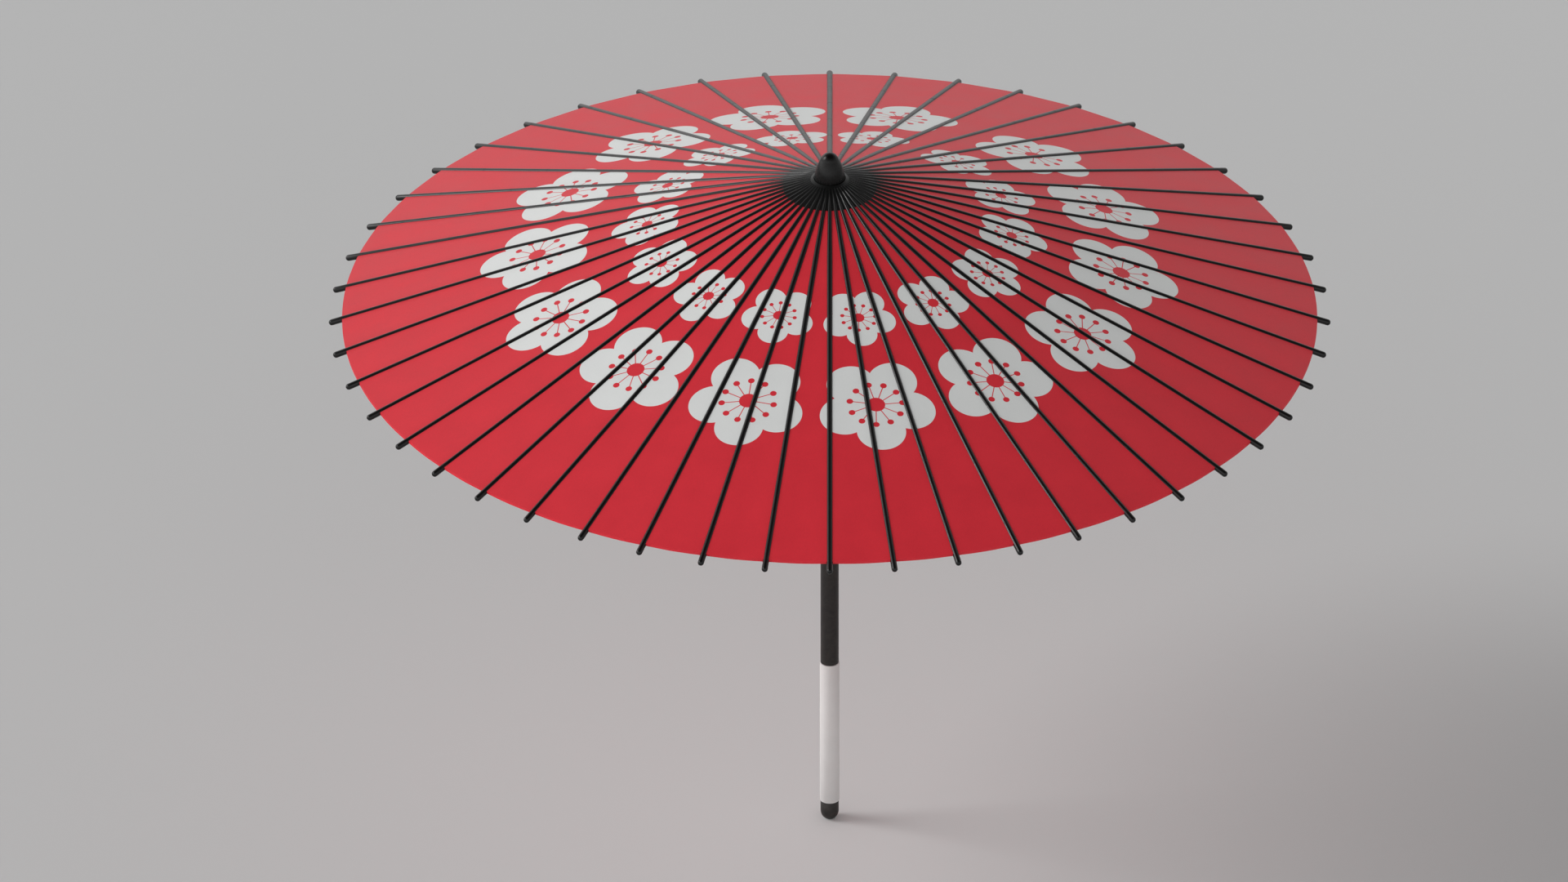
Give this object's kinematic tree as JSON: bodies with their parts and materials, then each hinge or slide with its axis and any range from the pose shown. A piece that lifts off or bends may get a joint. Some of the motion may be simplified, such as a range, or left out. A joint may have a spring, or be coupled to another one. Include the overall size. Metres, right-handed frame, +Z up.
{
  "type": "oil paper umbrella",
  "caption": "Open oil paper umbrella in red with white plum blossoms, black lacquered ribs, black shaft and a white grip, with folding ribs, stretchers and runner.",
  "frame": {"origin": "middle of the handle's lower end, on the shaft's axis", "axes": "+Z up the shaft towards the finial; -Y towards the first rib, at the umbrella's front"},
  "size_m": [0.8408, 0.8408, 0.643],
  "materials": {
    "lacquered_bamboo": "satin black lacquer",
    "stretcher_bamboo": "satin black lacquer",
    "pole": "satin black lacquer",
    "turned_wood": "satin dark stain",
    "finial": "satin black",
    "end_cap": "satin black",
    "grip": "matt white wrap",
    "oiled_paper": "oiled red paper",
    "crown_paper": "black oiled paper",
    "brass": "brushed",
    "steel": "brushed"
  },
  "bodies": {
    "root": {"shaft": "pole", "grip_sleeve": "grip", "end_cap": "end_cap", "head_hub": "turned_wood", "hub_pin": "steel", "finial": "finial", "canopy_paper": "oiled_paper", "crown_patch": "crown_paper", "between_ribs": "lacquered_bamboo"},
    "runner": {"runner": "turned_wood", "between_stretchers": "stretcher_bamboo"},
    "rib_01": {"rib_01": "lacquered_bamboo"},
    "stretcher_01": {"stretcher_01": "stretcher_bamboo"},
    "rib_02": {"rib_02": "lacquered_bamboo"},
    "stretcher_02": {"stretcher_02": "stretcher_bamboo"},
    "rib_03": {"rib_03": "lacquered_bamboo"},
    "stretcher_03": {"stretcher_03": "stretcher_bamboo"},
    "rib_04": {"rib_04": "lacquered_bamboo"},
    "stretcher_04": {"stretcher_04": "stretcher_bamboo"},
    "rib_05": {"rib_05": "lacquered_bamboo"},
    "stretcher_05": {"stretcher_05": "stretcher_bamboo"},
    "rib_06": {"rib_06": "lacquered_bamboo"},
    "stretcher_06": {"stretcher_06": "stretcher_bamboo"},
    "rib_07": {"rib_07": "lacquered_bamboo"},
    "stretcher_07": {"stretcher_07": "stretcher_bamboo"},
    "rib_08": {"rib_08": "lacquered_bamboo"},
    "stretcher_08": {"stretcher_08": "stretcher_bamboo"},
    "rib_09": {"rib_09": "lacquered_bamboo"},
    "stretcher_09": {"stretcher_09": "stretcher_bamboo"},
    "rib_10": {"rib_10": "lacquered_bamboo"},
    "stretcher_10": {"stretcher_10": "stretcher_bamboo"},
    "rib_11": {"rib_11": "lacquered_bamboo"},
    "stretcher_11": {"stretcher_11": "stretcher_bamboo"},
    "rib_12": {"rib_12": "lacquered_bamboo"},
    "stretcher_12": {"stretcher_12": "stretcher_bamboo"},
    "rib_13": {"rib_13": "lacquered_bamboo"},
    "stretcher_13": {"stretcher_13": "stretcher_bamboo"},
    "rib_14": {"rib_14": "lacquered_bamboo"},
    "stretcher_14": {"stretcher_14": "stretcher_bamboo"},
    "rib_15": {"rib_15": "lacquered_bamboo"},
    "stretcher_15": {"stretcher_15": "stretcher_bamboo"},
    "rib_16": {"rib_16": "lacquered_bamboo"},
    "stretcher_16": {"stretcher_16": "stretcher_bamboo"},
    "rib_17": {"rib_17": "lacquered_bamboo"},
    "stretcher_17": {"stretcher_17": "stretcher_bamboo"},
    "rib_18": {"rib_18": "lacquered_bamboo"},
    "stretcher_18": {"stretcher_18": "stretcher_bamboo"},
    "rib_19": {"rib_19": "lacquered_bamboo"},
    "stretcher_19": {"stretcher_19": "stretcher_bamboo"},
    "rib_20": {"rib_20": "lacquered_bamboo"},
    "stretcher_20": {"stretcher_20": "stretcher_bamboo"},
    "rib_21": {"rib_21": "lacquered_bamboo"},
    "stretcher_21": {"stretcher_21": "stretcher_bamboo"},
    "rib_22": {"rib_22": "lacquered_bamboo"},
    "stretcher_22": {"stretcher_22": "stretcher_bamboo"},
    "rib_23": {"rib_23": "lacquered_bamboo"},
    "stretcher_23": {"stretcher_23": "stretcher_bamboo"},
    "rib_24": {"rib_24": "lacquered_bamboo"},
    "stretcher_24": {"stretcher_24": "stretcher_bamboo"},
    "catch": {"catch": "brass"}
  },
  "joints": [
    {"name": "runner_slide", "type": "slide", "parent": "root", "child": "runner", "axis": [0, 0, -1], "range_m": [0, 0.26238], "deforming": ["canopy_paper", "crown_patch", "between_ribs", "between_stretchers", "catch"]},
    {"name": "rib_hinge_01", "type": "hinge", "parent": "root", "child": "rib_01", "pos_m": [0, -0.017, 0.61638], "axis": [1, 0, 0], "range_deg": [0, 68.11]},
    {"name": "stretcher_hinge_01", "type": "hinge", "parent": "rib_01", "child": "stretcher_01", "pos_m": [0, -0.20486, 0.54762], "axis": [-1, 0, 0], "range_deg": [0, 136.22]},
    {"name": "rib_hinge_02", "type": "hinge", "parent": "root", "child": "rib_02", "pos_m": [0.0044, -0.01642, 0.61638], "axis": [0.9659, 0.2588, 0], "range_deg": [0, 68.11]},
    {"name": "stretcher_hinge_02", "type": "hinge", "parent": "rib_02", "child": "stretcher_02", "pos_m": [0.05302, -0.19788, 0.54762], "axis": [-0.9659, -0.2588, 0], "range_deg": [0, 136.22]},
    {"name": "rib_hinge_03", "type": "hinge", "parent": "root", "child": "rib_03", "pos_m": [0.0085, -0.01472, 0.61638], "axis": [0.866, 0.5, 0], "range_deg": [0, 68.11]},
    {"name": "stretcher_hinge_03", "type": "hinge", "parent": "rib_03", "child": "stretcher_03", "pos_m": [0.10243, -0.17741, 0.54762], "axis": [-0.866, -0.5, 0], "range_deg": [0, 136.22]},
    {"name": "rib_hinge_04", "type": "hinge", "parent": "root", "child": "rib_04", "pos_m": [0.01202, -0.01202, 0.61638], "axis": [0.7071, 0.7071, 0], "range_deg": [0, 68.11]},
    {"name": "stretcher_hinge_04", "type": "hinge", "parent": "rib_04", "child": "stretcher_04", "pos_m": [0.14486, -0.14486, 0.54762], "axis": [-0.7071, -0.7071, 0], "range_deg": [0, 136.22]},
    {"name": "rib_hinge_05", "type": "hinge", "parent": "root", "child": "rib_05", "pos_m": [0.01472, -0.0085, 0.61638], "axis": [0.5, 0.866, 0], "range_deg": [0, 68.11]},
    {"name": "stretcher_hinge_05", "type": "hinge", "parent": "rib_05", "child": "stretcher_05", "pos_m": [0.17741, -0.10243, 0.54762], "axis": [-0.5, -0.866, 0], "range_deg": [0, 136.22]},
    {"name": "rib_hinge_06", "type": "hinge", "parent": "root", "child": "rib_06", "pos_m": [0.01642, -0.0044, 0.61638], "axis": [0.2588, 0.9659, 0], "range_deg": [0, 68.11]},
    {"name": "stretcher_hinge_06", "type": "hinge", "parent": "rib_06", "child": "stretcher_06", "pos_m": [0.19788, -0.05302, 0.54762], "axis": [-0.2588, -0.9659, 0], "range_deg": [0, 136.22]},
    {"name": "rib_hinge_07", "type": "hinge", "parent": "root", "child": "rib_07", "pos_m": [0.017, 0, 0.61638], "axis": [0, 1, 0], "range_deg": [0, 68.11]},
    {"name": "stretcher_hinge_07", "type": "hinge", "parent": "rib_07", "child": "stretcher_07", "pos_m": [0.20486, 0, 0.54762], "axis": [0, -1, 0], "range_deg": [0, 136.22]},
    {"name": "rib_hinge_08", "type": "hinge", "parent": "root", "child": "rib_08", "pos_m": [0.01642, 0.0044, 0.61638], "axis": [-0.2588, 0.9659, 0], "range_deg": [0, 68.11]},
    {"name": "stretcher_hinge_08", "type": "hinge", "parent": "rib_08", "child": "stretcher_08", "pos_m": [0.19788, 0.05302, 0.54762], "axis": [0.2588, -0.9659, 0], "range_deg": [0, 136.22]},
    {"name": "rib_hinge_09", "type": "hinge", "parent": "root", "child": "rib_09", "pos_m": [0.01472, 0.0085, 0.61638], "axis": [-0.5, 0.866, 0], "range_deg": [0, 68.11]},
    {"name": "stretcher_hinge_09", "type": "hinge", "parent": "rib_09", "child": "stretcher_09", "pos_m": [0.17741, 0.10243, 0.54762], "axis": [0.5, -0.866, 0], "range_deg": [0, 136.22]},
    {"name": "rib_hinge_10", "type": "hinge", "parent": "root", "child": "rib_10", "pos_m": [0.01202, 0.01202, 0.61638], "axis": [-0.7071, 0.7071, 0], "range_deg": [0, 68.11]},
    {"name": "stretcher_hinge_10", "type": "hinge", "parent": "rib_10", "child": "stretcher_10", "pos_m": [0.14486, 0.14486, 0.54762], "axis": [0.7071, -0.7071, 0], "range_deg": [0, 136.22]},
    {"name": "rib_hinge_11", "type": "hinge", "parent": "root", "child": "rib_11", "pos_m": [0.0085, 0.01472, 0.61638], "axis": [-0.866, 0.5, 0], "range_deg": [0, 68.11]},
    {"name": "stretcher_hinge_11", "type": "hinge", "parent": "rib_11", "child": "stretcher_11", "pos_m": [0.10243, 0.17741, 0.54762], "axis": [0.866, -0.5, 0], "range_deg": [0, 136.22]},
    {"name": "rib_hinge_12", "type": "hinge", "parent": "root", "child": "rib_12", "pos_m": [0.0044, 0.01642, 0.61638], "axis": [-0.9659, 0.2588, 0], "range_deg": [0, 68.11]},
    {"name": "stretcher_hinge_12", "type": "hinge", "parent": "rib_12", "child": "stretcher_12", "pos_m": [0.05302, 0.19788, 0.54762], "axis": [0.9659, -0.2588, 0], "range_deg": [0, 136.22]},
    {"name": "rib_hinge_13", "type": "hinge", "parent": "root", "child": "rib_13", "pos_m": [0, 0.017, 0.61638], "axis": [-1, 0, 0], "range_deg": [0, 68.11]},
    {"name": "stretcher_hinge_13", "type": "hinge", "parent": "rib_13", "child": "stretcher_13", "pos_m": [0, 0.20486, 0.54762], "axis": [1, 0, 0], "range_deg": [0, 136.22]},
    {"name": "rib_hinge_14", "type": "hinge", "parent": "root", "child": "rib_14", "pos_m": [-0.0044, 0.01642, 0.61638], "axis": [-0.9659, -0.2588, 0], "range_deg": [0, 68.11]},
    {"name": "stretcher_hinge_14", "type": "hinge", "parent": "rib_14", "child": "stretcher_14", "pos_m": [-0.05302, 0.19788, 0.54762], "axis": [0.9659, 0.2588, 0], "range_deg": [0, 136.22]},
    {"name": "rib_hinge_15", "type": "hinge", "parent": "root", "child": "rib_15", "pos_m": [-0.0085, 0.01472, 0.61638], "axis": [-0.866, -0.5, 0], "range_deg": [0, 68.11]},
    {"name": "stretcher_hinge_15", "type": "hinge", "parent": "rib_15", "child": "stretcher_15", "pos_m": [-0.10243, 0.17741, 0.54762], "axis": [0.866, 0.5, 0], "range_deg": [0, 136.22]},
    {"name": "rib_hinge_16", "type": "hinge", "parent": "root", "child": "rib_16", "pos_m": [-0.01202, 0.01202, 0.61638], "axis": [-0.7071, -0.7071, 0], "range_deg": [0, 68.11]},
    {"name": "stretcher_hinge_16", "type": "hinge", "parent": "rib_16", "child": "stretcher_16", "pos_m": [-0.14486, 0.14486, 0.54762], "axis": [0.7071, 0.7071, 0], "range_deg": [0, 136.22]},
    {"name": "rib_hinge_17", "type": "hinge", "parent": "root", "child": "rib_17", "pos_m": [-0.01472, 0.0085, 0.61638], "axis": [-0.5, -0.866, 0], "range_deg": [0, 68.11]},
    {"name": "stretcher_hinge_17", "type": "hinge", "parent": "rib_17", "child": "stretcher_17", "pos_m": [-0.17741, 0.10243, 0.54762], "axis": [0.5, 0.866, 0], "range_deg": [0, 136.22]},
    {"name": "rib_hinge_18", "type": "hinge", "parent": "root", "child": "rib_18", "pos_m": [-0.01642, 0.0044, 0.61638], "axis": [-0.2588, -0.9659, 0], "range_deg": [0, 68.11]},
    {"name": "stretcher_hinge_18", "type": "hinge", "parent": "rib_18", "child": "stretcher_18", "pos_m": [-0.19788, 0.05302, 0.54762], "axis": [0.2588, 0.9659, 0], "range_deg": [0, 136.22]},
    {"name": "rib_hinge_19", "type": "hinge", "parent": "root", "child": "rib_19", "pos_m": [-0.017, 0, 0.61638], "axis": [0, -1, 0], "range_deg": [0, 68.11]},
    {"name": "stretcher_hinge_19", "type": "hinge", "parent": "rib_19", "child": "stretcher_19", "pos_m": [-0.20486, 0, 0.54762], "axis": [0, 1, 0], "range_deg": [0, 136.22]},
    {"name": "rib_hinge_20", "type": "hinge", "parent": "root", "child": "rib_20", "pos_m": [-0.01642, -0.0044, 0.61638], "axis": [0.2588, -0.9659, 0], "range_deg": [0, 68.11]},
    {"name": "stretcher_hinge_20", "type": "hinge", "parent": "rib_20", "child": "stretcher_20", "pos_m": [-0.19788, -0.05302, 0.54762], "axis": [-0.2588, 0.9659, 0], "range_deg": [0, 136.22]},
    {"name": "rib_hinge_21", "type": "hinge", "parent": "root", "child": "rib_21", "pos_m": [-0.01472, -0.0085, 0.61638], "axis": [0.5, -0.866, 0], "range_deg": [0, 68.11]},
    {"name": "stretcher_hinge_21", "type": "hinge", "parent": "rib_21", "child": "stretcher_21", "pos_m": [-0.17741, -0.10243, 0.54762], "axis": [-0.5, 0.866, 0], "range_deg": [0, 136.22]},
    {"name": "rib_hinge_22", "type": "hinge", "parent": "root", "child": "rib_22", "pos_m": [-0.01202, -0.01202, 0.61638], "axis": [0.7071, -0.7071, 0], "range_deg": [0, 68.11]},
    {"name": "stretcher_hinge_22", "type": "hinge", "parent": "rib_22", "child": "stretcher_22", "pos_m": [-0.14486, -0.14486, 0.54762], "axis": [-0.7071, 0.7071, 0], "range_deg": [0, 136.22]},
    {"name": "rib_hinge_23", "type": "hinge", "parent": "root", "child": "rib_23", "pos_m": [-0.0085, -0.01472, 0.61638], "axis": [0.866, -0.5, 0], "range_deg": [0, 68.11]},
    {"name": "stretcher_hinge_23", "type": "hinge", "parent": "rib_23", "child": "stretcher_23", "pos_m": [-0.10243, -0.17741, 0.54762], "axis": [-0.866, 0.5, 0], "range_deg": [0, 136.22]},
    {"name": "rib_hinge_24", "type": "hinge", "parent": "root", "child": "rib_24", "pos_m": [-0.0044, -0.01642, 0.61638], "axis": [0.9659, -0.2588, 0], "range_deg": [0, 68.11]},
    {"name": "stretcher_hinge_24", "type": "hinge", "parent": "rib_24", "child": "stretcher_24", "pos_m": [-0.05302, -0.19788, 0.54762], "axis": [-0.9659, 0.2588, 0], "range_deg": [0, 136.22]},
    {"name": "catch_press", "type": "hinge", "parent": "root", "child": "catch", "pos_m": [0.0059, 0, 0.40606], "axis": [0, -1, 0], "range_deg": [0, 6], "stiffness_Nm_per_rad": 0.05}
  ],
  "couplings": [
    {"joint": "rib_hinge_01", "follows": "runner_slide", "rad_per_m": 4.53},
    {"joint": "stretcher_hinge_01", "follows": "runner_slide", "rad_per_m": 9.06},
    {"joint": "rib_hinge_02", "follows": "runner_slide", "rad_per_m": 4.53},
    {"joint": "stretcher_hinge_02", "follows": "runner_slide", "rad_per_m": 9.06},
    {"joint": "rib_hinge_03", "follows": "runner_slide", "rad_per_m": 4.53},
    {"joint": "stretcher_hinge_03", "follows": "runner_slide", "rad_per_m": 9.06},
    {"joint": "rib_hinge_04", "follows": "runner_slide", "rad_per_m": 4.53},
    {"joint": "stretcher_hinge_04", "follows": "runner_slide", "rad_per_m": 9.06},
    {"joint": "rib_hinge_05", "follows": "runner_slide", "rad_per_m": 4.53},
    {"joint": "stretcher_hinge_05", "follows": "runner_slide", "rad_per_m": 9.06},
    {"joint": "rib_hinge_06", "follows": "runner_slide", "rad_per_m": 4.53},
    {"joint": "stretcher_hinge_06", "follows": "runner_slide", "rad_per_m": 9.06},
    {"joint": "rib_hinge_07", "follows": "runner_slide", "rad_per_m": 4.53},
    {"joint": "stretcher_hinge_07", "follows": "runner_slide", "rad_per_m": 9.06},
    {"joint": "rib_hinge_08", "follows": "runner_slide", "rad_per_m": 4.53},
    {"joint": "stretcher_hinge_08", "follows": "runner_slide", "rad_per_m": 9.06},
    {"joint": "rib_hinge_09", "follows": "runner_slide", "rad_per_m": 4.53},
    {"joint": "stretcher_hinge_09", "follows": "runner_slide", "rad_per_m": 9.06},
    {"joint": "rib_hinge_10", "follows": "runner_slide", "rad_per_m": 4.53},
    {"joint": "stretcher_hinge_10", "follows": "runner_slide", "rad_per_m": 9.06},
    {"joint": "rib_hinge_11", "follows": "runner_slide", "rad_per_m": 4.53},
    {"joint": "stretcher_hinge_11", "follows": "runner_slide", "rad_per_m": 9.06},
    {"joint": "rib_hinge_12", "follows": "runner_slide", "rad_per_m": 4.53},
    {"joint": "stretcher_hinge_12", "follows": "runner_slide", "rad_per_m": 9.06},
    {"joint": "rib_hinge_13", "follows": "runner_slide", "rad_per_m": 4.53},
    {"joint": "stretcher_hinge_13", "follows": "runner_slide", "rad_per_m": 9.06},
    {"joint": "rib_hinge_14", "follows": "runner_slide", "rad_per_m": 4.53},
    {"joint": "stretcher_hinge_14", "follows": "runner_slide", "rad_per_m": 9.06},
    {"joint": "rib_hinge_15", "follows": "runner_slide", "rad_per_m": 4.53},
    {"joint": "stretcher_hinge_15", "follows": "runner_slide", "rad_per_m": 9.06},
    {"joint": "rib_hinge_16", "follows": "runner_slide", "rad_per_m": 4.53},
    {"joint": "stretcher_hinge_16", "follows": "runner_slide", "rad_per_m": 9.06},
    {"joint": "rib_hinge_17", "follows": "runner_slide", "rad_per_m": 4.53},
    {"joint": "stretcher_hinge_17", "follows": "runner_slide", "rad_per_m": 9.06},
    {"joint": "rib_hinge_18", "follows": "runner_slide", "rad_per_m": 4.53},
    {"joint": "stretcher_hinge_18", "follows": "runner_slide", "rad_per_m": 9.06},
    {"joint": "rib_hinge_19", "follows": "runner_slide", "rad_per_m": 4.53},
    {"joint": "stretcher_hinge_19", "follows": "runner_slide", "rad_per_m": 9.06},
    {"joint": "rib_hinge_20", "follows": "runner_slide", "rad_per_m": 4.53},
    {"joint": "stretcher_hinge_20", "follows": "runner_slide", "rad_per_m": 9.06},
    {"joint": "rib_hinge_21", "follows": "runner_slide", "rad_per_m": 4.53},
    {"joint": "stretcher_hinge_21", "follows": "runner_slide", "rad_per_m": 9.06},
    {"joint": "rib_hinge_22", "follows": "runner_slide", "rad_per_m": 4.53},
    {"joint": "stretcher_hinge_22", "follows": "runner_slide", "rad_per_m": 9.06},
    {"joint": "rib_hinge_23", "follows": "runner_slide", "rad_per_m": 4.53},
    {"joint": "stretcher_hinge_23", "follows": "runner_slide", "rad_per_m": 9.06},
    {"joint": "rib_hinge_24", "follows": "runner_slide", "rad_per_m": 4.53},
    {"joint": "stretcher_hinge_24", "follows": "runner_slide", "rad_per_m": 9.06}
  ]
}
